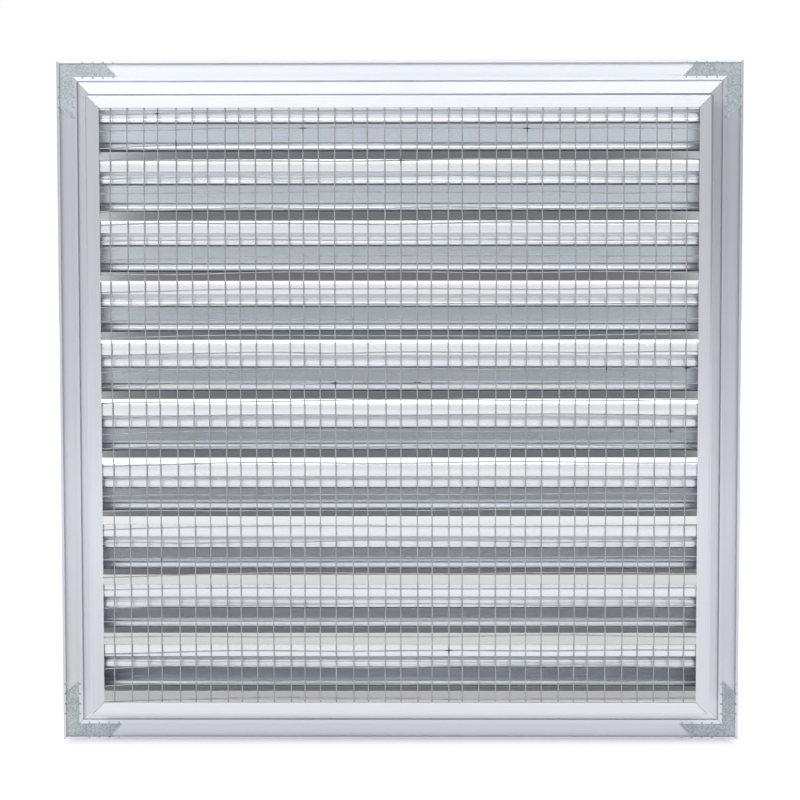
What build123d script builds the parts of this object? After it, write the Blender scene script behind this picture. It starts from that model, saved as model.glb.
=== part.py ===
"""Fixed-blade weather louvre for a wall opening: mitred frame, sloping blades, bird mesh.

Millimetres, +Z up. The outside face looks along -Y and the neck runs into the wall along +Y.
The origin is the centre of the opening, in the plane where the flange seats on the wall.
"""
from math import cos, radians, sin, sqrt, tan
import os

from build123d import *

os.makedirs("parts", exist_ok=True)

# Frame, overall
neck_size = 498.0               # outside of the neck that enters the wall opening, square
neck_depth = 54.0               # wall plane to the rear face of the rear lip
rear_lip_width = 11.0           # neck's outside to the clear opening
wall = 1.5                      # extrusion wall
mitre_gap = 0.12                # hairline left at each mitre, per member
rear_lip_radius = 2.6
front_edge_radius = 0.8
corner_flat = 2.4               # leg of the flat dressed on each corner of the neck

# Flange section, from the neck outwards
band_width = 13.5               # sloping band beside the neck
band_inner_setback = 0.5        # band below the wall plane at the neck
band_outer_setback = 2.0        # and at the relief slot
relief_slot_width = 1.0         # slot that lets the rib be staked over
relief_slot_floor = 1.7         # metal left in front of that slot
rib_width = 3.2
rib_hook_reach = 1.4            # overhang of the inner rib over the key
channel_width = 11.1            # clear width between the two hooks
outer_hook_reach = 0.9          # overhang of the outer lip over the key
outer_lip_width = 2.2
hook_thickness = 1.5

# Corner keys and the staking that holds them
key_thickness = 2.0
key_side_clearance = 0.15
key_face_clearance = 0.2        # key to the underside of the hooks
key_arm = 36.0                  # along the outer edge, from the key's own corner
stake_pitch = 8.3
stakes_per_arm = 4
stake_first = 7.0               # from the key's inner corner to the first stake
stake_length = 1.1

# Blades
blade_pitch = 48.6
blade_depth = 53.0              # rear face to front edge
blade_slope = 36.2              # degrees down to the outside
blade_wall = 1.5
upstand_height = 9.5
top_clearance = 1.6             # first blade's upstand below the neck
sill_clearance = 5.0            # least room under the last blade's front edge

# Blade screws
screw_shank_radius = 1.5
screw_shank_length = 14.0
screw_hole_clearance = 0.4      # all round the shank, in the neck
screw_head_radius = 3.4
screw_head_height = 1.5
screw_head_chamfer = 0.7
screw_head_sides = 8            # round heads, shanks and holes are drawn with few sides
screw_shank_sides = 6

# Screw ports under each blade
port_rear_setback = 7.8         # rear face to the rear port's axis
port_front_setback = 35.9       # rear face to the front port's axis
port_drop = 1.7                 # web underside to the port's axis
port_clearance = 0.15           # all round the shank
port_wall = 1.35
port_slot_width = 2.2
port_rear_fillet = 5.0          # sweep of the web into the port's rear side
port_front_fillet = 1.0
score_size = 0.4                # extrusion score line along each port
score_angle = 9.0               # degrees below level on the port's rear side

# Bird mesh
wire_diameter = 0.95
wire_pitch = 12.7
wire_sides = 6                  # each round wire is drawn with few sides
mesh_edge_clearance = 1.5       # wire ends to the inside of the neck
mesh_to_blade_gap = 0.2

# Frame places, as distances from the centre line and from the wall plane
neck_half = neck_size / 2
inner_half = neck_half - wall
opening_half = neck_half - rear_lip_width
slot_inner = neck_half + band_width
rib_back = slot_inner + relief_slot_width
rib_tip = rib_back + rib_width
rib_root = rib_tip - rib_hook_reach
lip_tip = rib_tip + channel_width
lip_root = lip_tip + outer_hook_reach
half = lip_tip + outer_lip_width
step_half = slot_inner - wall
flange_depth = wall + key_thickness + key_face_clearance + hook_thickness
floor_level = wall - flange_depth
lip_front_face = neck_depth - wall
band_slope = (band_outer_setback - band_inner_setback) / band_width

# Blade and port places
slope = radians(blade_slope)
blade_length = 2 * inner_half
blade_rear_face = lip_front_face - 2 * wire_diameter - mesh_to_blade_gap
first_corner = inner_half - top_clearance - upstand_height
last_corner = blade_depth * tan(slope) + sill_clearance - inner_half
blade_count = 1 + int((first_corner - last_corner) / blade_pitch)
port_setbacks = (port_rear_setback, port_front_setback)
port_bore_radius = screw_shank_radius + port_clearance
port_outer_radius = port_bore_radius + port_wall
screw_hole_radius = screw_shank_radius + screw_hole_clearance


def band_level(u):
    """Rear surface of the sloping band at distance u from the centre line."""
    return -band_inner_setback - (u - neck_half) * band_slope


def port_axis(setback):
    """Port axis in a blade's section: rearward from the rear face, upward from the rear corner."""
    return (-setback, -setback * tan(slope) - port_drop / cos(slope))


frame_section = [
    (half, -flange_depth),
    (half, 0),
    (lip_tip, 0),
    (lip_tip, -hook_thickness),
    (lip_root, -hook_thickness),
    (lip_root, floor_level),
    (rib_root, floor_level),
    (rib_root, -hook_thickness),
    (rib_tip, -hook_thickness),
    (rib_tip, 0),
    (rib_back, 0),
    (rib_back, relief_slot_floor - flange_depth),
    (slot_inner, relief_slot_floor - flange_depth),
    (slot_inner, -band_outer_setback),
    (neck_half, -band_inner_setback),
    (neck_half, neck_depth),
    (opening_half, neck_depth),
    (opening_half, lip_front_face),
    (inner_half, lip_front_face),
    (inner_half, band_level(inner_half) - wall),
    (step_half, band_level(step_half) - wall),
    (step_half, -flange_depth),
]

blade_section = [
    (0, 0),
    (0, upstand_height),
    (-blade_wall, upstand_height),
    (-blade_wall, blade_wall / cos(slope) - blade_wall * tan(slope)),
    (-blade_depth, blade_wall / cos(slope) - blade_depth * tan(slope)),
    (-blade_depth, -blade_depth * tan(slope)),
]


def frame_member(label, outward, drilled):
    """One frame side: the frame extrusion with staked hooks, mitred at both ends."""
    along = outward.cross(Vector(0, 1, 0))
    with BuildPart() as member:
        with BuildSketch(Plane(origin=(0, 0, 0), x_dir=outward, z_dir=along)) as section:
            with BuildLine():
                Polyline(*frame_section, close=True)
            make_face()
            rear_corner = section.vertices().group_by(Axis.Y)[-1].sort_by(Axis.X)[-1]
            fillet(rear_corner, radius=rear_lip_radius)
            inner_corner = section.vertices().filter_by_position(
                Axis.Y, lip_front_face, lip_front_face
            ).sort_by(Axis.X)[-1]
            fillet(inner_corner, radius=rear_lip_radius - wall)
            fillet(section.vertices().group_by(Axis.Y)[0], radius=front_edge_radius)
        extrude(amount=half, both=True)
        for end in (along, -along):
            mitre = (end - outward).normalized()
            split(bisect_by=Plane(origin=mitre * -mitre_gap, z_dir=mitre), keep=Keep.BOTTOM)
            corner = (outward + end) * neck_half + Vector(0, neck_depth, 0)
            with Locations(Plane(origin=corner, x_dir=outward + end, z_dir=(0, 1, 0))):
                Box(sqrt(2) * corner_flat, 2 * neck_depth, 2 * (neck_depth - wall), mode=Mode.SUBTRACT)
        stake_corner = rib_root + key_side_clearance
        stakes = [
            side * (stake_corner - stake_first - number * stake_pitch)
            for side in (-1, 1)
            for number in range(stakes_per_arm)
        ]
        hooks = [
            ((lip_tip + lip_root) / 2, outer_hook_reach),
            ((rib_tip + rib_root) / 2, rib_hook_reach),
        ]
        level = -hook_thickness / 2
        for hook_middle, reach in hooks:
            for place in stakes:
                centre = outward * hook_middle + along * place + Vector(0, level, 0)
                with Locations(Plane(origin=centre, x_dir=outward, z_dir=along)):
                    Box(reach, hook_thickness, stake_length, mode=Mode.SUBTRACT)
        if drilled:
            for number in range(blade_count):
                for setback in port_setbacks:
                    rearward, upward = port_axis(setback)
                    height = first_corner - number * blade_pitch + upward
                    centre = outward * neck_half + Vector(0, blade_rear_face + rearward, height)
                    with BuildSketch(Plane(origin=centre, z_dir=outward)):
                        RegularPolygon(screw_hole_radius, screw_shank_sides)
                    extrude(amount=-2 * wall, mode=Mode.SUBTRACT)
    member.part.label = label
    export_step(member.part, f"parts/{label}.step")


def corner_key(label, side_x, side_z):
    """Flat L-plate in the flange channels of one corner, with ends cut at 45 degrees."""
    outer = lip_root - key_side_clearance
    inner = rib_root + key_side_clearance
    reach = outer - key_arm
    slant = reach - (outer - inner)
    corner = [
        (outer, outer),
        (reach, outer),
        (slant, inner),
        (inner, inner),
        (inner, slant),
        (outer, reach),
    ]
    with BuildPart() as key:
        with BuildSketch(Plane(origin=(0, floor_level, 0), x_dir=(1, 0, 0), z_dir=(0, -1, 0))):
            with BuildLine():
                Polyline(*[(side_x * x, side_z * z) for x, z in corner], close=True)
            make_face()
        extrude(amount=-key_thickness)
    key.part.label = label
    export_step(key.part, f"parts/{label}.step")


def blade(label, corner_height):
    """One louvre blade: upstand, sloping web and two open screw ports."""
    start = (-blade_length / 2, blade_rear_face, corner_height)
    with BuildPart() as louvre:
        with BuildSketch(Plane(origin=start, x_dir=(0, 1, 0), z_dir=(1, 0, 0))) as section:
            with BuildLine():
                Polyline(*blade_section, close=True)
            make_face()
            with Locations(*[port_axis(setback) for setback in port_setbacks]):
                Circle(port_outer_radius)
            for setback in port_setbacks:
                axis = Vector(*port_axis(setback))
                chord = sqrt(port_outer_radius**2 - port_drop**2)
                for run, radius in ((-chord, port_rear_fillet), (chord, port_front_fillet)):
                    joint = axis + Vector(
                        -run * cos(slope) - port_drop * sin(slope),
                        -run * sin(slope) + port_drop * cos(slope),
                    )
                    fillet(section.vertices().sort_by_distance(joint)[0], radius=radius)
            with Locations(*[port_axis(setback) for setback in port_setbacks]):
                Circle(port_bore_radius, mode=Mode.SUBTRACT)
                Rectangle(
                    port_slot_width,
                    2 * port_outer_radius,
                    rotation=blade_slope,
                    align=(Align.CENTER, Align.MAX),
                    mode=Mode.SUBTRACT,
                )
            scores = [
                Vector(*port_axis(setback)) + Vector(port_outer_radius, 0).rotate(Axis.Z, -score_angle)
                for setback in port_setbacks
            ]
            with Locations(*scores):
                Rectangle(score_size, score_size, rotation=-score_angle, mode=Mode.SUBTRACT)
        extrude(amount=blade_length)
    louvre.part.label = label
    export_step(louvre.part, f"parts/{label}.step")


def blade_screws(label, side):
    """All the pan-head screws that go through one neck side into the blades' ports."""
    with BuildPart() as screws:
        for number in range(blade_count):
            for setback in port_setbacks:
                rearward, upward = port_axis(setback)
                height = first_corner - number * blade_pitch + upward
                seat = Plane(
                    origin=(side * neck_half, blade_rear_face + rearward, height),
                    z_dir=(side, 0, 0),
                )
                with BuildSketch(seat):
                    RegularPolygon(screw_head_radius, screw_head_sides)
                extrude(amount=screw_head_height)
                with BuildSketch(seat):
                    RegularPolygon(screw_shank_radius, screw_shank_sides)
                extrude(amount=-screw_shank_length)
        rims = screws.edges().group_by(Axis.X)[-1 if side > 0 else 0]
        chamfer(rims, length=screw_head_chamfer)
    screws.part.label = label
    export_step(screws.part, f"parts/{label}.step")


def bird_mesh(label):
    """Welded square mesh: upright wires against the rear lip, level wires on their inner side.

    One upright is on the centre line, and the level wires straddle the centre.
    """
    wire_half = inner_half - mesh_edge_clearance
    wires_each_side = int((wire_half - wire_diameter) / wire_pitch)
    uprights = [number * wire_pitch for number in range(-wires_each_side, wires_each_side + 1)]
    levels = [(number + 0.5) * wire_pitch for number in range(-wires_each_side, wires_each_side)]
    outer_layer = lip_front_face - wire_diameter / 2
    inner_layer = outer_layer - wire_diameter
    with BuildPart() as mesh:
        with BuildSketch(Plane.XY.offset(-wire_half)):
            with Locations(*[(place, outer_layer) for place in uprights]):
                RegularPolygon(wire_diameter / 2, wire_sides, rotation=180 / wire_sides)
        extrude(amount=2 * wire_half)
        with BuildSketch(Plane.YZ.offset(-wire_half)):
            with Locations(*[(inner_layer, place) for place in levels]):
                RegularPolygon(wire_diameter / 2, wire_sides, rotation=180 / wire_sides)
        extrude(amount=2 * wire_half)
    mesh.part.label = label
    export_step(mesh.part, f"parts/{label}.step")


frame_member("frame_top", Vector(0, 0, 1), drilled=False)
frame_member("frame_bottom", Vector(0, 0, -1), drilled=False)
frame_member("frame_left", Vector(-1, 0, 0), drilled=True)
frame_member("frame_right", Vector(1, 0, 0), drilled=True)

for height_name, side_z in (("top", 1), ("bottom", -1)):
    for width_name, side_x in (("left", -1), ("right", 1)):
        corner_key(f"corner_key_{height_name}_{width_name}", side_x, side_z)

for number in range(blade_count):
    blade(f"blade_{number + 1:02d}", first_corner - number * blade_pitch)

blade_screws("blade_screws_left", -1)
blade_screws("blade_screws_right", 1)
bird_mesh("bird_mesh")
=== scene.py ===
"""Fixed-blade weather louvre with bird mesh, finished as bare extruded aluminium and galvanised steel.

Metres, +Z up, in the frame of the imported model. The rear of the louvre looks along +Y.
"""
import math

import bpy
import numpy as np
from bpy.props import FloatProperty, FloatVectorProperty, IntProperty, PointerProperty
from mathutils import Matrix, Vector


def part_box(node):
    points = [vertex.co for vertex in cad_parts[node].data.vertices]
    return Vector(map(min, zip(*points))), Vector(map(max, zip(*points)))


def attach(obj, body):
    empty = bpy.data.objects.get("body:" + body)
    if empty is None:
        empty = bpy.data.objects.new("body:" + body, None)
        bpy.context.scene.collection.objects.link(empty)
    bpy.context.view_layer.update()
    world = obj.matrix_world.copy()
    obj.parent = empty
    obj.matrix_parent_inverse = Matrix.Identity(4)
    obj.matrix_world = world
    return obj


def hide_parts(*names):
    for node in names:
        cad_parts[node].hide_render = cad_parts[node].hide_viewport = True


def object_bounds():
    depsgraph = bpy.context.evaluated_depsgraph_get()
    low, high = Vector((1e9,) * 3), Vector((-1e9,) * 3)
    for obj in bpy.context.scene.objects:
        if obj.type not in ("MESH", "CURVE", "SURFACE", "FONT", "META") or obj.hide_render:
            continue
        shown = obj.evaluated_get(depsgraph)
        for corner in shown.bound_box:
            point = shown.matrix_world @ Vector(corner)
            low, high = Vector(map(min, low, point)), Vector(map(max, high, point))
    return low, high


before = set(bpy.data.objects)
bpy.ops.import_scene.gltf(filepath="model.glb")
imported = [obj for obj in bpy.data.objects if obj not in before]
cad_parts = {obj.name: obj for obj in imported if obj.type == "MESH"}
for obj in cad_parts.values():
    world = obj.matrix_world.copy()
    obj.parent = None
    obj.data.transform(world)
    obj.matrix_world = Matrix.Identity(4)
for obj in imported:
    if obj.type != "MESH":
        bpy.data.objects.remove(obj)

bl_info = {
    "name": "Weather Louvre",
    "version": (1, 0, 0),
    "blender": (4, 5, 0),
    "location": "View3D > Sidebar > Louvre",
    "description": "Finishes a fixed-blade weather louvre and builds its bird mesh, blades and screws",
    "category": "Object",
}

CAD_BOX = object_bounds()
FRAME_SIDES = ("top", "bottom", "left", "right")
BLADES = sorted(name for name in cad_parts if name.startswith("blade_") and name[6:].isdigit())
KEYS = sorted(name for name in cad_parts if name.startswith("corner_key"))
SCREWS = ("blade_screws_left", "blade_screws_right")
BURNT_WELDS = ((0.0489, 0.0195, 0.0022), (-0.0276, 0.0203, 0.0012), (-0.2262, 0.0378, 0.0016))


class Value:
    """A shader socket that takes part in Python arithmetic: each operator adds one Math node."""

    def __init__(self, nodes, socket):
        self.nodes = nodes
        self.socket = socket

    def maths(self, operation, first, second):
        return self.nodes.add("ShaderNodeMath", {"operation": operation}, {0: first, 1: second})

    def __add__(self, other):
        return self.maths("ADD", self, other)

    def __radd__(self, other):
        return self.maths("ADD", other, self)

    def __sub__(self, other):
        return self.maths("SUBTRACT", self, other)

    def __rsub__(self, other):
        return self.maths("SUBTRACT", other, self)

    def __mul__(self, other):
        return self.maths("MULTIPLY", self, other)

    def __rmul__(self, other):
        return self.maths("MULTIPLY", other, self)

    def __abs__(self):
        return self.maths("ABSOLUTE", self, 0.0)

    def __or__(self, other):
        return self.maths("MAXIMUM", self, other)


class Nodes:
    """The nodes of one material or world, added one at a time."""

    def __init__(self, owner):
        owner.use_nodes = True
        self.tree = owner.node_tree

    def add(self, kind, settings=None, sockets=None, output=0):
        """Adds a node, makes its settings, fills or links its sockets and returns one output."""
        node = self.tree.nodes.new(kind)
        for name, value in (settings or {}).items():
            setattr(node, name, value)
        self.fill(node, sockets or {})
        return Value(self, node.outputs[output])

    def fill(self, node, sockets):
        """Sets each socket to a number or colour, or links a value to it."""
        for name, value in sockets.items():
            if isinstance(value, Value):
                self.tree.links.new(value.socket, node.inputs[name])
            else:
                node.inputs[name].default_value = value

    def blend(self, factor, first, second):
        """A colour that goes from the first to the second as the factor goes from 0 to 1."""
        settings = {"data_type": "RGBA", "clamp_factor": True}
        return self.add("ShaderNodeMix", settings, {0: factor, 6: first, 7: second}, output=2)

    def stretch(self, scale, turn=(0.0, 0.0, 0.0)):
        """Object coordinates, scaled along each axis and then turned."""
        place = self.add("ShaderNodeTexCoord", output=3)
        return self.add("ShaderNodeMapping", None, {"Vector": place, "Scale": scale, "Rotation": turn})

    def noise(self, scale, detail=2.0, turn=(0.0, 0.0, 0.0)):
        """Soft noise from 0 to 1, with its own number of waves per metre along each axis."""
        where = self.stretch(scale, turn)
        return self.add("ShaderNodeTexNoise", None, {"Vector": where, "Scale": 1.0, "Detail": detail})

    def ease(self, value, low, high):
        """A smooth step of a value: 0 below the low mark and 1 above the high mark."""
        settings = {"interpolation_type": "SMOOTHSTEP"}
        return self.add("ShaderNodeMapRange", settings, {0: value, 1: low, 2: high, 3: 0.0, 4: 1.0})

    def seen(self):
        """1 for what is seen straight, mirrored or through glass, and 0 for scattered light."""
        path = self.tree.nodes.new("ShaderNodeLightPath").outputs
        rays = [Value(self, path[f"Is {kind} Ray"]) for kind in ("Camera", "Glossy", "Transmission")]
        return rays[0] | rays[1] | rays[2]

    def bump(self, height, distance, strength=1.0):
        """A normal tilted by a height that is given as a share of the distance in metres."""
        sockets = {"Strength": strength, "Distance": distance, "Height": height}
        return self.add("ShaderNodeBump", None, sockets)


class Finish(Nodes):
    """One material: a principled shader and what feeds it."""

    def __init__(self, name):
        self.material = bpy.data.materials.new(name)
        super().__init__(self.material)

    def surface(self, **sockets):
        """Fills the shader's sockets, which are named with underscores for spaces."""
        shader = self.tree.nodes["Principled BSDF"]
        self.fill(shader, {name.replace("_", " "): value for name, value in sockets.items()})
        return self.material


def shade(colour, gain):
    """An opaque colour scaled by a gain."""
    return (*(min(1.0, part * gain) for part in colour), 1.0)


def by_axis(along, lengthwise, across):
    """Waves per metre: few along the extrusion's own axis and many across it."""
    return tuple(lengthwise if axis == along else across for axis in range(3))


def extruded_aluminium(name, colour, roughness, along, grain=0.0, grain_turn=0.0, neck_shade=None):
    """Bare extruded aluminium: fine die lines along one axis, soft handling marks and a few scratches.

    The grain draws the gloss out across the die lines, and its turn is a share of a full turn. With a
    neck shade colour, the faces inside the neck are painted darker towards it, as painted shade where
    the neck's walls keep light off them, and made rougher.
    """
    finish = Finish(name)
    die_lines = finish.noise(by_axis(along, 1.2, 1400.0), detail=2.0)
    broad_lines = finish.noise(by_axis(along, 0.6, 160.0), detail=1.0)
    clouds = finish.noise((14.0, 14.0, 14.0), detail=4.0)
    rub = finish.noise((420.0, 60.0, 35.0), detail=2.0, turn=(0.4, 0.9, 0.5))
    scratch = finish.ease(rub, 0.70, 0.76) * finish.ease(clouds, 0.50, 0.66)
    lines = 0.7 * die_lines + 0.3 * broad_lines
    tone = finish.ease(0.7 * lines + 0.3 * clouds, 0.30, 0.70)
    base = finish.blend(tone, shade(colour, 0.96), shade(colour, 1.04))
    base = finish.blend(0.6 * scratch, base, shade(colour, 1.22))
    rough = roughness - 0.05 + 0.10 * lines + 0.08 * clouds + 0.12 * scratch
    # Painted shade: the inner faces of the neck's sides are darkened towards the shade colour, where the
    # neck's walls keep light off them; they are also rougher.
    if neck_shade is not None:
        place = finish.add("ShaderNodeTexCoord", output=3)
        across = finish.add("ShaderNodeSeparateXYZ", None, {0: place}, output=0)
        depth = finish.add("ShaderNodeSeparateXYZ", None, {0: place}, output=1)
        sizes = settings()[0]
        rear = sizes.neck_rear
        inside = finish.ease(sizes.neck_inner_half - abs(across), -0.0004, -0.0001)
        inside = inside * finish.ease(depth, -0.004, 0.0) * finish.ease(rear - depth, 0.0, 0.0005)
        painted_shade = inside * (0.75 + 0.25 * clouds)
        base = finish.blend(painted_shade, base, shade(neck_shade, 1.0))
        rough = rough + 0.2 * painted_shade
    ripple = finish.bump(die_lines, 0.00005)
    return finish.surface(
        Base_Color=base, Metallic=1.0, Roughness=rough, Normal=ripple,
        Anisotropic=grain, Anisotropic_Rotation=grain_turn,
    )


def spangled_zinc(name, colour):
    """Hot-dip galvanised sheet: frost-like spangles, a dull bloom and fine scratches."""
    finish = Finish(name)
    place = finish.stretch((210.0, 210.0, 210.0))
    cells = finish.add("ShaderNodeTexVoronoi", None, {"Vector": place, "Randomness": 1.0}, output=1)
    split = finish.add("ShaderNodeSeparateColor", None, {0: cells})
    grains = finish.noise((900.0, 900.0, 900.0), detail=3.0)
    bloom = finish.noise((60.0, 60.0, 60.0), detail=4.0)
    rub = finish.noise((1400.0, 60.0, 110.0), detail=2.0, turn=(0.3, 0.7, 0.2))
    scratch = finish.ease(rub, 0.66, 0.74)
    tone = 0.40 * split + 0.12 * grains + 0.48 * bloom
    base = finish.blend(finish.ease(tone, 0.32, 0.68), shade(colour, 0.80), shade(colour, 1.22))
    base = finish.blend(0.5 * scratch, base, shade(colour, 1.4))
    rough = 0.42 + 0.16 * split + 0.10 * bloom
    frost = finish.bump(0.6 * grains + 0.4 * split, 0.00002)
    return finish.surface(Base_Color=base, Metallic=0.85, Roughness=rough, Normal=frost)


def galvanised_wire(name, colour, burnt):
    """Drawn and welded zinc-coated wire: dull grey, brighter where rubbed, dark where a weld burnt."""
    finish = Finish(name)
    patches = finish.noise((90.0, 90.0, 90.0), detail=3.0)
    grains = finish.noise((1600.0, 1600.0, 1600.0), detail=2.0)
    burn = finish.add("ShaderNodeAttribute", {"attribute_name": "burn"}, None, output=2)
    tone = finish.ease(0.6 * patches + 0.4 * grains, 0.30, 0.70)
    base = finish.blend(tone, shade(colour, 0.78), shade(colour, 1.18))
    base = finish.blend(burn, base, shade(burnt, 1.0))
    rough = 0.36 + 0.16 * grains + 0.3 * burn
    skin = finish.bump(grains, 0.00002)
    return finish.surface(Base_Color=base, Metallic=0.9 - 0.7 * burn, Roughness=rough, Normal=skin)


def bright_zinc(name, colour):
    """Zinc-plated screw steel: bright, with faint cloudy passivation."""
    finish = Finish(name)
    clouds = finish.noise((500.0, 500.0, 500.0), detail=3.0)
    tone = finish.ease(clouds, 0.35, 0.65)
    base = finish.blend(tone, shade(colour, 0.9), shade(colour, 1.1))
    return finish.surface(Base_Color=base, Metallic=1.0, Roughness=0.24 + 0.14 * clouds)


def pale_floor(name, colour):
    """Floor that keeps the louvre's shadow ahead of it, polished there, and runs out to plain white.

    The shaded part is as wide as the louvre hides from the camera, so its sides spread with distance.
    Its darkness is partly real, the lamps' shadow on the plain floor, and partly painted shadow: the
    white glow is held back in that patch and comes back in two soft steps farther ahead.
    """
    finish = Finish(name)
    mottle = finish.noise((3.0, 3.0, 3.0), detail=3.0)
    place = finish.add("ShaderNodeTexCoord", output=3)
    across = finish.add("ShaderNodeSeparateXYZ", None, {0: place}, output=0)
    depth = finish.add("ShaderNodeSeparateXYZ", None, {0: place}, output=1)
    half_light = 0.16
    spread = 0.156
    # Painted shadow: where all three masks are 0 the floor gets no white glow, in a patch shaped and
    # graded like the louvre's shadow; the lamps' real shadow falls on it there.
    behind = finish.ease(depth, -0.03, 0.03)
    nearer = finish.ease(0.0 - depth, 0.26, 0.40)
    farther = finish.ease(0.0 - depth, 1.1, 3.0)
    ahead = half_light * nearer + (1.0 - half_light) * farther
    beside = finish.ease(abs(across) + spread * depth, 0.255, 0.284)
    white = (behind | ahead | beside) * finish.seen()
    base = finish.blend(mottle, shade(colour, 0.98), shade(colour, 1.0))
    base = finish.blend(white, base, (0.0, 0.0, 0.0, 1.0))
    glow = finish.blend(white, (0.0, 0.0, 0.0, 1.0), (1.0, 1.0, 1.0, 1.0))
    rough = 0.12 + 0.78 * behind
    return finish.surface(Base_Color=base, Roughness=rough, Emission_Color=glow, Emission_Strength=1.0)


def grid_quads(rows, columns, wrap):
    """Quads of a grid of points in row order, closed along the columns if wrap is true."""
    index = np.arange(rows * columns).reshape(rows, columns)
    after = np.roll(index, -1, axis=1)
    quads = np.stack((index[:-1], after[:-1], after[1:], index[1:]), axis=-1)
    return (quads if wrap else quads[:, :-1]).reshape(-1, 4)


def new_piece(name, points, faces, material, slot, sharp_angle=math.radians(40)):
    """Makes a mesh object at the origin, smooth but for its sharp edges, that rides on the louvre."""
    mesh = bpy.data.meshes.new(name)
    mesh.from_pydata(points.reshape(-1, 3).tolist(), [], faces)
    mesh.polygons.foreach_set("use_smooth", np.ones(len(mesh.polygons), dtype=bool))
    mesh.set_sharp_from_angle(angle=sharp_angle)
    mesh.materials.append(material)
    mesh.update()
    piece = bpy.data.objects.new(name, mesh)
    bpy.context.scene.collection.objects.link(piece)
    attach(piece, "root")
    return piece


def dress(node, material):
    """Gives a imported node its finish."""
    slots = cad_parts[node].data.materials
    slots.clear()
    slots.append(material)


def arc(centre, radius, start, stop, steps):
    """Points round a circle from one angle to another; an angle is measured from the first axis."""
    angle = np.linspace(start, stop, steps)
    return np.column_stack((centre[0] + radius * np.cos(angle), centre[1] + radius * np.sin(angle)))


def soften(outline, radius, least_turn=math.radians(30)):
    """Rounds the sharp corners of a closed outline.

    Where the outline turns by more than the least turn, the corner gives way to three points of the
    parabola that leaves the incoming side and meets the outgoing side at the radius from the corner.
    """
    before = outline - np.roll(outline, 1, axis=0)
    after = np.roll(outline, -1, axis=0) - outline
    reach_in = np.linalg.norm(before, axis=1)
    reach_out = np.linalg.norm(after, axis=1)
    way_in = before / reach_in[:, None]
    way_out = after / reach_out[:, None]
    sharp = np.sum(way_in * way_out, axis=1) < math.cos(least_turn)
    cut = np.where(sharp, np.minimum(radius, 0.45 * np.minimum(reach_in, reach_out)), 0.0)[:, None]
    first = outline - way_in * cut
    last = outline + way_out * cut
    middle = 0.25 * first + 0.5 * outline + 0.25 * last
    keep = np.column_stack((np.ones_like(sharp), sharp, sharp)).astype(bool)
    return np.stack((first, middle, last), axis=1)[keep]


def port_side(sizes, fillet):
    """One side of a screw port: a fillet off the web, then the outer circle as far as the slot.

    The axes run along the web and away from its underside, and the port's axis is straight below
    the origin, so the fillet's centre is where both its distances, to web and to circle, are right.
    """
    drop, outer = sizes.port_drop, sizes.port_outer
    reach = math.sqrt((outer + fillet) ** 2 - (drop - fillet) ** 2)
    joint = math.atan2(fillet - drop, reach)
    slot = math.pi / 2 - math.asin(sizes.port_slot / 2 / outer)
    sweep = arc((reach, fillet), fillet, -math.pi / 2, -math.pi + joint, 14)
    return np.vstack((sweep[:-1], arc((0.0, drop), outer, joint, slot, 30)))


def port_outline(sizes):
    """Open outline of one screw port, from the web on its rear side to the web on its front side.

    The rear side as far as the slot, the bore circle all the way round from one edge of the slot to
    the other, and the front side back to the web. The score line is a narrow dip towards the axis.
    """
    axis = np.array((0.0, sizes.port_drop))
    rear = port_side(sizes, sizes.port_rear_fillet)
    front = port_side(sizes, sizes.port_front_fillet)[::-1] * (-1.0, 1.0)
    spoke = rear - axis
    turn = np.arctan2(spoke[:, 1], spoke[:, 0])
    dip = sizes.score_depth * np.exp(-(((turn - sizes.score_place) / sizes.score_width) ** 2))
    rear = rear - dip[:, None] * spoke / np.linalg.norm(spoke, axis=1)[:, None]
    slot = math.pi / 2 - math.asin(sizes.port_slot / 2 / sizes.port_bore)
    return np.vstack((rear, arc(axis, sizes.port_bore, slot, -math.pi - slot, 40), front))


def blade_section(sizes, depth):
    """Closed section of a blade in (rearward, upward) metres from its rear lower corner.

    Upstand, upper web and front edge by their corners, then back along the underside with both screw
    ports; every corner is eased.
    """
    slope = sizes.blade_slope
    wall = sizes.blade_wall
    fall = math.tan(slope)
    thick = wall / math.cos(slope)
    along = np.array((math.cos(slope), math.sin(slope)))
    away = np.array((math.sin(slope), -math.cos(slope)))
    upper = [
        (0.0, 0.0),
        (0.0, sizes.upstand),
        (-wall, sizes.upstand),
        (-wall, thick - wall * fall),
        (-depth, thick - depth * fall),
        (-depth, -depth * fall),
    ]
    shift = sizes.port_drop * math.sin(slope)
    ports = []
    for setback in (sizes.port_front, sizes.port_rear):
        back = -(setback + shift)
        foot = np.array((back, back * fall))
        local = port_outline(sizes)[::-1]
        ports.append(foot + local[:, :1] * along + local[:, 1:] * away)
    return soften(np.vstack((upper, *ports)), sizes.edge_radius)


def carried_section(section, places):
    """A closed section carried along X: each station repeats the section, and both ends are closed."""
    steps = len(section)
    points = np.empty((len(places), steps, 3))
    points[:, :, 0] = places[:, None]
    points[:, :, 1:] = section
    faces = grid_quads(len(places), steps, wrap=True)[:, ::-1].tolist()
    first = list(range(steps))
    last = [(len(places) - 1) * steps + step for step in reversed(first)]
    return points, faces + [first, last]


def round_tubes(paths, radius, first_axis, second_axis, sides):
    """Round wires: a ring of points in two fixed axes about every point of every path, ends closed."""
    turn = np.linspace(0.0, 2 * math.pi, sides, endpoint=False)
    ring = np.cos(turn)[:, None] * np.array(first_axis) + np.sin(turn)[:, None] * np.array(second_axis)
    points = paths[:, :, None, :] + radius * ring
    count, stations = paths.shape[:2]
    size = stations * sides
    quads = grid_quads(stations, sides, wrap=True)
    quads = (quads[None] + (np.arange(count) * size)[:, None, None]).reshape(-1, 4)
    starts = (np.arange(count) * size)[:, None] + np.arange(sides)[::-1]
    ends = (np.arange(count) * size)[:, None] + size - sides + np.arange(sides)
    return points.reshape(-1, 3), quads.tolist() + starts.tolist() + ends.tolist()


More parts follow.
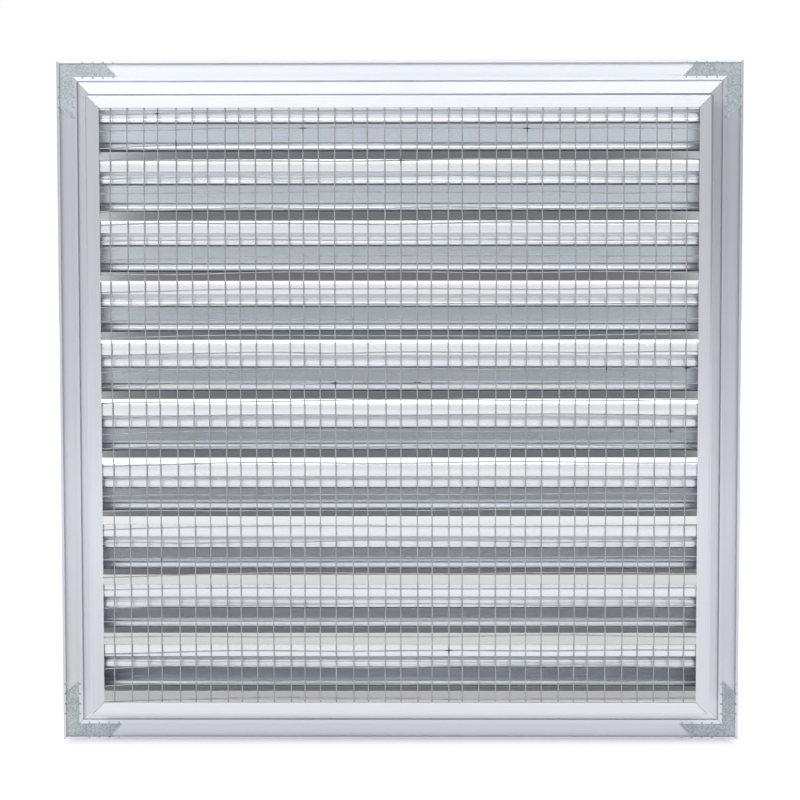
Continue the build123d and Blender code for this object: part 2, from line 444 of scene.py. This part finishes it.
def beads(centres, radii):
    """Small welds: a six-sided barrel with pointed ends along Y, scaled by radii, about each centre."""
    sides = 6
    turn = np.linspace(0.0, 2 * math.pi, sides, endpoint=False)
    level = np.array((-0.55, 0.55))
    ring = np.sqrt(1.0 - level**2)
    around = np.stack(np.broadcast_arrays(
        ring[:, None] * np.cos(turn), level[:, None], ring[:, None] * np.sin(turn)
    ), axis=-1).reshape(-1, 3)
    shape = np.vstack((around, (0.0, -1.0, 0.0), (0.0, 1.0, 0.0)))
    points = centres[:, None, :] + radii * shape
    step = np.arange(sides)
    after = np.roll(step, -1)
    first_tip = np.full(sides, 2 * sides)
    walls = np.column_stack((step, step + sides, after + sides, after))
    first_cap = np.column_stack((step, after, first_tip))
    last_cap = np.column_stack((after + sides, step + sides, first_tip + 1))
    caps = np.vstack((first_cap, last_cap))
    start = (np.arange(len(centres)) * len(shape))[:, None, None]
    faces = (start + walls).reshape(-1, 4).tolist() + (start + caps).reshape(-1, 3).tolist()
    return points.reshape(-1, 3), faces


def joined(*shells):
    """Several shells of points and faces as one."""
    starts = np.cumsum([0] + [len(points) for points, _ in shells]).tolist()
    faces = []
    for start, (_, shell_faces) in zip(starts, shells):
        faces.extend([start + corner for corner in face] for face in shell_faces)
    return np.vstack([points for points, _ in shells]), faces


def screw_shell(sizes, reach):
    """A thread-forming screw along +X, its head's top at 0 and its tip at the reach.

    A profile turned about X. The head is a low dome with a cross sunk in it: the dome drops where a
    point is close to either of two crossing lines. The thread is a round-topped ridge whose place
    along X runs on by one pitch a turn, and it fades into the tip's cone.
    """
    sides = 24
    stations = 56
    turn = np.linspace(0.0, 2 * math.pi, sides, endpoint=False)
    head, height, shank = sizes.screw_head_radius, sizes.screw_head_height, sizes.screw_shank_radius
    dome = np.linspace(0.04, 0.86, 12) * head
    dome_place = 0.35 * height * (dome / head) ** 2
    rim = np.array((0.95, 1.0, 1.0, 0.97)) * head
    rim_place = np.array((0.40, 0.62, 0.94, 1.0)) * height
    place = np.concatenate((dome_place, rim_place, np.linspace(height, reach, stations)))
    radius = np.concatenate((dome, rim, np.full(stations, shank)))[:, None] * np.ones(sides)
    along = place[:, None] * np.ones(sides)
    narrow = np.minimum(np.abs(radius * np.cos(turn)), np.abs(radius * np.sin(turn)))
    cross = np.clip((sizes.cross_half_width - narrow) / sizes.cross_side, 0.0, 1.0)
    cross = cross * np.clip((sizes.cross_reach - radius) / sizes.cross_end, 0.0, 1.0)
    head_top = (np.arange(len(place)) < len(dome))[:, None]
    along = along + head_top * cross * sizes.cross_depth
    ridge = 0.5 + 0.5 * np.cos(2 * math.pi * (along / sizes.screw_thread_pitch - turn / (2 * math.pi)))
    threaded = np.clip((along - height - sizes.thread_start) / sizes.thread_runout, 0.0, 1.0)
    tip = np.clip((reach - along) / sizes.screw_tip, 0.12, 1.0)
    shaft = (np.arange(len(place)) >= len(dome) + len(rim))[:, None]
    groove = sizes.thread_depth / shank * threaded * (1.0 - ridge)
    radius = np.where(shaft, radius * tip * (1.0 - groove), radius)
    points = np.stack((along, radius * np.cos(turn), radius * np.sin(turn)), axis=-1)
    faces = grid_quads(len(place), sides, wrap=True).tolist()
    last = (len(place) - 1) * sides
    return points.reshape(-1, 3), faces + [list(range(sides))[::-1], list(range(last, last + sides))]


def slow_waves(rng, count, where, longest, shortest, height, terms=4):
    """Sums of sine waves along a wire, each with a random length and phase, for a number of wires."""
    lengths = rng.uniform(shortest, longest, (count, terms, 1))
    phases = rng.uniform(0.0, 2 * math.pi, (count, terms, 1))
    return height / terms**0.5 * np.sin(2 * math.pi * where / lengths + phases).sum(axis=1)


def settings():
    """The louvre's sizes and colours."""
    return bpy.context.scene.louvre_sizes, bpy.context.scene.louvre_colours


def length(name, description, default):
    """A length in metres."""
    return FloatProperty(name=name, description=description, default=default, unit="LENGTH", precision=5)


def colour(name, description, default):
    """A linear colour."""
    return FloatVectorProperty(
        name=name, description=description, default=default, subtype="COLOR", min=0.0, max=1.0
    )


class LouvreSizes(bpy.types.PropertyGroup):
    """Sizes of the pieces that are built here."""

    neck_inner_half: length("Neck inside", "Centre line to the inner face of the neck", 0.2475)
    neck_rear: length("Neck rear", "Wall plane to the inner side of the rear lip", 0.0525)
    blade_slope: FloatProperty(
        name="Blade slope", description="Fall of the web to the outside",
        default=math.radians(36.2), subtype="ANGLE",
    )
    blade_wall: length("Blade wall", "Thickness of the blade extrusion", 0.0015)
    upstand: length("Upstand", "Height of the rear upstand", 0.0095)
    edge_radius: length("Edge radius", "Rounding of the extrusion's edges", 0.00025)
    port_rear: length("Rear port", "Rear face to the rear screw port", 0.0078)
    port_front: length("Front port", "Rear face to the front screw port", 0.0359)
    port_drop: length("Port drop", "Underside of the web to a port's axis", 0.0017)
    port_outer: length("Port outside", "Outer radius of a screw port", 0.0030)
    port_bore: length("Port bore", "Bore radius of a screw port", 0.00165)
    port_slot: length("Port slot", "Width of the slot in a screw port", 0.0022)
    port_rear_fillet: length("Port rear fillet", "Sweep of the web into a port's rear side", 0.0050)
    port_front_fillet: length("Port front fillet", "Fillet on a port's front side", 0.0010)
    score_depth: length("Score depth", "Depth of the score line along a port", 0.0001)
    score_place: FloatProperty(
        name="Score place", description="Angle of the score line round the port, from the web",
        default=math.radians(45.2), subtype="ANGLE",
    )
    score_width: FloatProperty(
        name="Score width", description="Half width of the score line round the port",
        default=math.radians(3.5), subtype="ANGLE",
    )
    wire_radius: length("Wire radius", "Radius of the mesh wire", 0.000475)
    wire_pitch: length("Wire pitch", "Nominal distance between mesh wires", 0.0127)
    wire_stray: length("Wire stray", "How far an upright usually stands from its nominal place", 0.0009)
    wire_stray_limit: length("Wire stray limit", "Farthest that an upright stands from there", 0.0016)
    row_stray: length("Row stray", "How far a level wire usually lies from its nominal place", 0.0004)
    row_stray_limit: length("Row stray limit", "Farthest that a level wire lies from there", 0.0009)
    upright_wave: length("Upright wave", "Height of the slow waves in an upright", 0.0003)
    wire_wave: length("Wire wave", "Height of the slow waves in a level wire", 0.0006)
    end_sag: length("End sag", "How far the level wires sag at one end", 0.0022)
    sag_length: length("Sag length", "Length over which that sag dies out", 0.060)
    weld_radius: length("Weld radius", "Radius of a weld at a crossing", 0.00062)
    screw_head_radius: length("Screw head", "Radius of a pan head", 0.0034)
    screw_head_height: length("Screw head height", "Height of a pan head", 0.0015)
    screw_shank_radius: length("Screw shank", "Outer radius of the thread", 0.0015)
    screw_thread_pitch: length("Thread pitch", "Distance between two turns of the thread", 0.0012)
    thread_depth: length("Thread depth", "Crest to root of the thread", 0.00039)
    thread_start: length("Thread start", "Head to the start of the thread", 0.0004)
    thread_runout: length("Thread runout", "Length over which the thread comes up", 0.0006)
    screw_tip: length("Screw tip", "Length of the cone at a screw's tip", 0.0030)
    cross_half_width: length("Cross half width", "Half width of a recess arm at its floor", 0.00042)
    cross_side: length("Cross side", "Width of a recess arm's sloping side", 0.00012)
    cross_reach: length("Cross reach", "Screw's axis to the end of a recess arm", 0.0020)
    cross_end: length("Cross end", "Length of a recess arm's sloping end", 0.0002)
    cross_depth: length("Cross depth", "Depth of the cross recess", 0.0009)
    mark_reach: length("Mark reach", "Radius of a small dark weld mark", 0.0008)
    small_marks: IntProperty(
        name="Small marks", description="Number of small dark weld marks", default=26, min=0
    )
    mesh_seed: IntProperty(name="Mesh seed", description="Seed of the mesh's irregularity", default=7)


class LouvreColours(bpy.types.PropertyGroup):
    """Colours of the finishes and the stage."""

    frame_metal: colour("Frame", "Frame extrusion", (0.75, 0.775, 0.82))
    # Painted shade colour for the inner faces of the neck's sides, darker where the neck keeps light off
    # them.
    neck_painted_shade: colour("Neck inside", "Dull inner faces of the neck's sides", (0.16, 0.17, 0.185))
    blade_metal: colour("Blades", "Blade extrusion", (0.76, 0.79, 0.83))
    key_zinc: colour("Corner keys", "Galvanised plate", (0.48, 0.535, 0.565))
    wire_zinc: colour("Mesh", "Galvanised wire", (0.52, 0.53, 0.54))
    wire_burnt: colour("Burnt weld", "Dark weld marks", (0.02, 0.02, 0.022))
    screw_zinc: colour("Screws", "Zinc plating", (0.66, 0.67, 0.68))
    floor: colour("Floor", "Studio floor", (0.6, 0.6, 0.6))


class LOUVRE_OT_finish_frame(bpy.types.Operator):
    """Finish the four frame members, with die lines along each member"""

    bl_idname = "louvre.finish_frame"
    bl_label = "Finish Frame"

    def execute(self, context):
        colours = settings()[1]
        metal, grain = colours.frame_metal, 0.95
        level = extruded_aluminium(
            "frame_aluminium_level", metal, roughness=0.30, along=0, grain=grain, grain_turn=0.25
        )
        # The upright members carry painted shade on the neck's inner faces.
        upright = extruded_aluminium(
            "frame_aluminium_upright", metal, roughness=0.34, along=2, grain=grain, neck_shade=colours.neck_painted_shade
        )
        for side in FRAME_SIDES:
            dress(f"frame_{side}", level if side in ("top", "bottom") else upright)
        return {"FINISHED"}


class LOUVRE_OT_finish_corner_keys(bpy.types.Operator):
    """Finish the corner keys as spangled galvanised plate"""

    bl_idname = "louvre.finish_corner_keys"
    bl_label = "Finish Corner Keys"

    def execute(self, context):
        zinc = spangled_zinc("galvanised_plate", settings()[1].key_zinc)
        for key in KEYS:
            dress(key, zinc)
        return {"FINISHED"}


class LOUVRE_OT_build_blades(bpy.types.Operator):
    """Build every louvre blade from one eased extrusion section"""

    bl_idname = "louvre.build_blades"
    bl_label = "Build Blades"

    def execute(self, context):
        sizes, colours = settings()
        metal = extruded_aluminium("blade_aluminium", colours.blade_metal, roughness=0.22, along=0)
        stations = 9
        for node in BLADES:
            low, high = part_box(node)
            section = blade_section(sizes, high.y - low.y)
            section = section + (high.y, high.z - sizes.upstand)
            points, faces = carried_section(section, np.linspace(low.x, high.x, stations))
            piece = new_piece(f"louvre_{node}", points, faces, metal, "blade_aluminium")
            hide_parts(node)
        return {"FINISHED"}


class LOUVRE_OT_build_bird_mesh(bpy.types.Operator):
    """Build the welded bird mesh with its slightly uneven wires"""

    bl_idname = "louvre.build_bird_mesh"
    bl_label = "Build Bird Mesh"

    def execute(self, context):
        sizes, colours = settings()
        rng = np.random.default_rng(sizes.mesh_seed)
        low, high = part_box("bird_mesh")
        radius = sizes.wire_radius
        half = high.x
        each_side = int((half - 2 * radius) / sizes.wire_pitch)
        columns = np.arange(-each_side, each_side + 1) * sizes.wire_pitch
        rows = (np.arange(-each_side, each_side) + 0.5) * sizes.wire_pitch
        stations, sides = 120, 10
        where = np.linspace(-half, half, stations)
        limit = half - radius
        stray = rng.normal(0.0, sizes.wire_stray, len(columns))
        stray = np.clip(stray, -sizes.wire_stray_limit, sizes.wire_stray_limit)
        upright_x = (columns + stray)[:, None]
        upright_x = upright_x + slow_waves(
            rng, len(columns), where, longest=0.6, shortest=0.25, height=sizes.upright_wave
        )
        sag = sizes.end_sag * np.exp(-(limit - where) / sizes.sag_length)
        row_stray = rng.normal(0.0, sizes.row_stray, len(rows))
        row_stray = np.clip(row_stray, -sizes.row_stray_limit, sizes.row_stray_limit)
        row_sag = rng.uniform(0.4, 1.6, len(rows))[:, None] * sag
        level_z = (rows + row_stray)[:, None] - row_sag
        level_z = level_z + slow_waves(
            rng, len(rows), where, longest=0.5, shortest=0.08, height=sizes.wire_wave
        )
        uprights = np.stack(
            np.broadcast_arrays(np.clip(upright_x, -limit, limit), high.y - radius, where), axis=-1
        )
        levels = np.stack(
            np.broadcast_arrays(where, low.y + radius, np.clip(level_z, -limit, limit)), axis=-1
        )
        first = round_tubes(uprights, radius, (1.0, 0.0, 0.0), (0.0, 1.0, 0.0), sides)
        second = round_tubes(levels, radius, (0.0, 1.0, 0.0), (0.0, 0.0, 1.0), sides)
        crossing_x = uprights[:, np.searchsorted(where, rows), 0]
        crossing_z = levels[:, np.searchsorted(where, columns), 2].T
        middle = np.full_like(crossing_x, (low.y + high.y) / 2)
        crossings = np.stack((crossing_x, middle, crossing_z), axis=-1).reshape(-1, 3)
        swell = rng.uniform(0.85, 1.15, (len(crossings), 1, 1)) * sizes.weld_radius
        third = beads(crossings, swell * np.array((1.0, 0.9, 1.0)))
        points, faces = joined(first, second, third)
        wire = galvanised_wire("mesh_wire", colours.wire_zinc, colours.wire_burnt)
        piece = new_piece("bird_mesh_wires", points, faces, wire, "mesh_wire")
        burn = np.zeros(len(points))
        chance = rng.choice(len(crossings), sizes.small_marks, replace=False)
        marks = [(*crossings[index, (0, 2)], sizes.mark_reach) for index in chance]
        for x, z, reach in (*BURNT_WELDS, *marks):
            nearest = crossings[np.argmin(np.hypot(crossings[:, 0] - x, crossings[:, 2] - z))]
            away = np.linalg.norm((points - nearest)[:, (0, 2)], axis=1)
            burn = np.maximum(burn, np.exp(-((away / reach) ** 4)))
        burn_layer = piece.data.attributes.new("burn", "FLOAT", "POINT")
        burn_layer.data.foreach_set("value", burn)
        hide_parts("bird_mesh")
        return {"FINISHED"}


class LOUVRE_OT_build_screws(bpy.types.Operator):
    """Build the cross-head screws that run through the frame's sides into the blades' ports"""

    bl_idname = "louvre.build_screws"
    bl_label = "Build Screws"

    def execute(self, context):
        sizes, colours = settings()
        zinc = bright_zinc("screw_zinc", colours.screw_zinc)
        slope = sizes.blade_slope
        for node in SCREWS:
            low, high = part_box(node)
            side = 1.0 if low.x > 0 else -1.0
            points, faces = screw_shell(sizes, high.x - low.x)
            points = points * (-side, side, 1.0) + (high.x if side > 0 else low.x, 0.0, 0.0)
            shells = []
            for blade in BLADES:
                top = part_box(blade)[1]
                for setback in (sizes.port_rear, sizes.port_front):
                    back = setback + sizes.port_drop * math.sin(slope)
                    drop = sizes.upstand + back * math.tan(slope) + sizes.port_drop * math.cos(slope)
                    shells.append((points + (0.0, top.y - setback, top.z - drop), faces))
            piece = new_piece(f"cross_head_{node}", *joined(*shells), zinc, "screw_steel")
            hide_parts(node)
        return {"FINISHED"}


def softbox(name, place, target, width, height, power):
    """A rectangular studio lamp aimed at a point."""
    lamp = bpy.data.lights.new(name, "AREA")
    lamp.shape = "RECTANGLE"
    lamp.size, lamp.size_y = width, height
    lamp.energy = power
    lamp_object = bpy.data.objects.new(name, lamp)
    lamp_object.location = place
    lamp_object.rotation_mode = "QUATERNION"
    lamp_object.rotation_quaternion = (Vector(target) - Vector(place)).to_track_quat("-Z", "Y")
    bpy.context.scene.collection.objects.link(lamp_object)


def studio_world(level, behind, flags):
    """Soft light: white ahead of the camera, dimmer behind it, and darkest overhead and at the sides.

    Behind the camera it leans to one side and is a little brighter above the horizon than below. What
    is scattered gets one even level.
    """
    world = bpy.data.worlds.new("studio")
    bpy.context.scene.world = world
    nodes = Nodes(world)
    direction = nodes.add("ShaderNodeTexCoord", output=0)
    across = nodes.add("ShaderNodeSeparateXYZ", None, {0: direction}, output=0)
    depth = nodes.add("ShaderNodeSeparateXYZ", None, {0: direction}, output=1)
    height = nodes.add("ShaderNodeSeparateXYZ", None, {0: direction}, output=2)
    ahead = nodes.ease(0.0 - depth, 0.25, 0.75)
    lean, widen, face_on = 0.31, 0.35, 0.95
    camera_side = nodes.ease(lean * across + widen * abs(across) + face_on * depth, 0.7, 0.99)
    lift = 0.85 + 0.2 * nodes.ease(height, -0.04, 0.07)
    shown = flags + (1.0 - flags) * ahead + (behind * lift - flags) * camera_side
    strength = level + nodes.seen() * (shown - level)
    background = nodes.tree.nodes["Background"]
    nodes.fill(background, {"Color": (1.0, 1.0, 1.0, 1.0), "Strength": strength})


class LOUVRE_OT_set_stage(bpy.types.Operator):
    """Set the floor, the lamps, the world and the camera"""

    bl_idname = "louvre.set_stage"
    bl_label = "Set Stage"

    def execute(self, context):
        scene = context.scene
        scene.view_settings.view_transform = "Standard"
        reach = 12.0
        ground = CAD_BOX[0].z
        corners = [(x * reach, y * reach, ground) for x, y in ((-1, -1), (1, -1), (1, 1), (-1, 1))]
        mesh = bpy.data.meshes.new("floor")
        mesh.from_pydata(corners, [], [(0, 1, 2, 3)])
        mesh.materials.append(pale_floor("pale_floor", settings()[1].floor))
        floor = bpy.data.objects.new("floor", mesh)
        scene.collection.objects.link(floor)
        studio_world(level=0.24, behind=0.88, flags=0.15)
        middle, foot = (0.0, 0.0, 0.0), (0.0, 0.0, -0.2)
        softbox("softbox_rear", (0.4, 2.2, 1.5), middle, width=3.2, height=1.3, power=27.0)
        softbox("softbox_low", (0.2, 1.2, -0.225), foot, width=1.8, height=0.10, power=0.2)
        camera = bpy.data.cameras.new("camera")
        camera.sensor_width = 36.0
        camera.lens = 98.7
        camera_object = bpy.data.objects.new("camera", camera)
        yaw, pitch, roll = 0.0078, 0.0646, -0.00115
        level = math.cos(pitch)
        forward = Vector((math.sin(yaw) * level, -math.cos(yaw) * level, -math.sin(pitch)))
        camera_object.rotation_mode = "QUATERNION"
        turn = forward.to_track_quat("-Z", "Y").to_matrix() @ Matrix.Rotation(roll, 3, "Z")
        camera_object.rotation_quaternion = turn.to_quaternion()
        camera_object.location = (-0.0141, 1.8, 0.119)
        scene.collection.objects.link(camera_object)
        scene.camera = camera_object
        return {"FINISHED"}


class LOUVRE_PT_sidebar(bpy.types.Panel):
    """The louvre's operators and settings"""

    bl_idname = "LOUVRE_PT_sidebar"
    bl_label = "Weather Louvre"
    bl_space_type = "VIEW_3D"
    bl_region_type = "UI"
    bl_category = "Louvre"

    def draw(self, context):
        layout = self.layout
        for operator in OPERATORS:
            layout.operator(operator.bl_idname)
        for group in settings():
            for name in group.__annotations__:
                layout.prop(group, name)


OPERATORS = (
    LOUVRE_OT_finish_frame,
    LOUVRE_OT_finish_corner_keys,
    LOUVRE_OT_build_blades,
    LOUVRE_OT_build_bird_mesh,
    LOUVRE_OT_build_screws,
    LOUVRE_OT_set_stage,
)
CLASSES = (LouvreSizes, LouvreColours, *OPERATORS, LOUVRE_PT_sidebar)


def register():
    for item in CLASSES:
        bpy.utils.register_class(item)
    bpy.types.Scene.louvre_sizes = PointerProperty(type=LouvreSizes)
    bpy.types.Scene.louvre_colours = PointerProperty(type=LouvreColours)


def unregister():
    del bpy.types.Scene.louvre_colours
    del bpy.types.Scene.louvre_sizes
    for item in reversed(CLASSES):
        bpy.utils.unregister_class(item)


def main():
    """Builds everything in order."""
    register()
    bpy.ops.louvre.finish_frame()
    bpy.ops.louvre.finish_corner_keys()
    bpy.ops.louvre.build_blades()
    bpy.ops.louvre.build_bird_mesh()
    bpy.ops.louvre.build_screws()
    bpy.ops.louvre.set_stage()


if __name__ == "__main__":
    main()
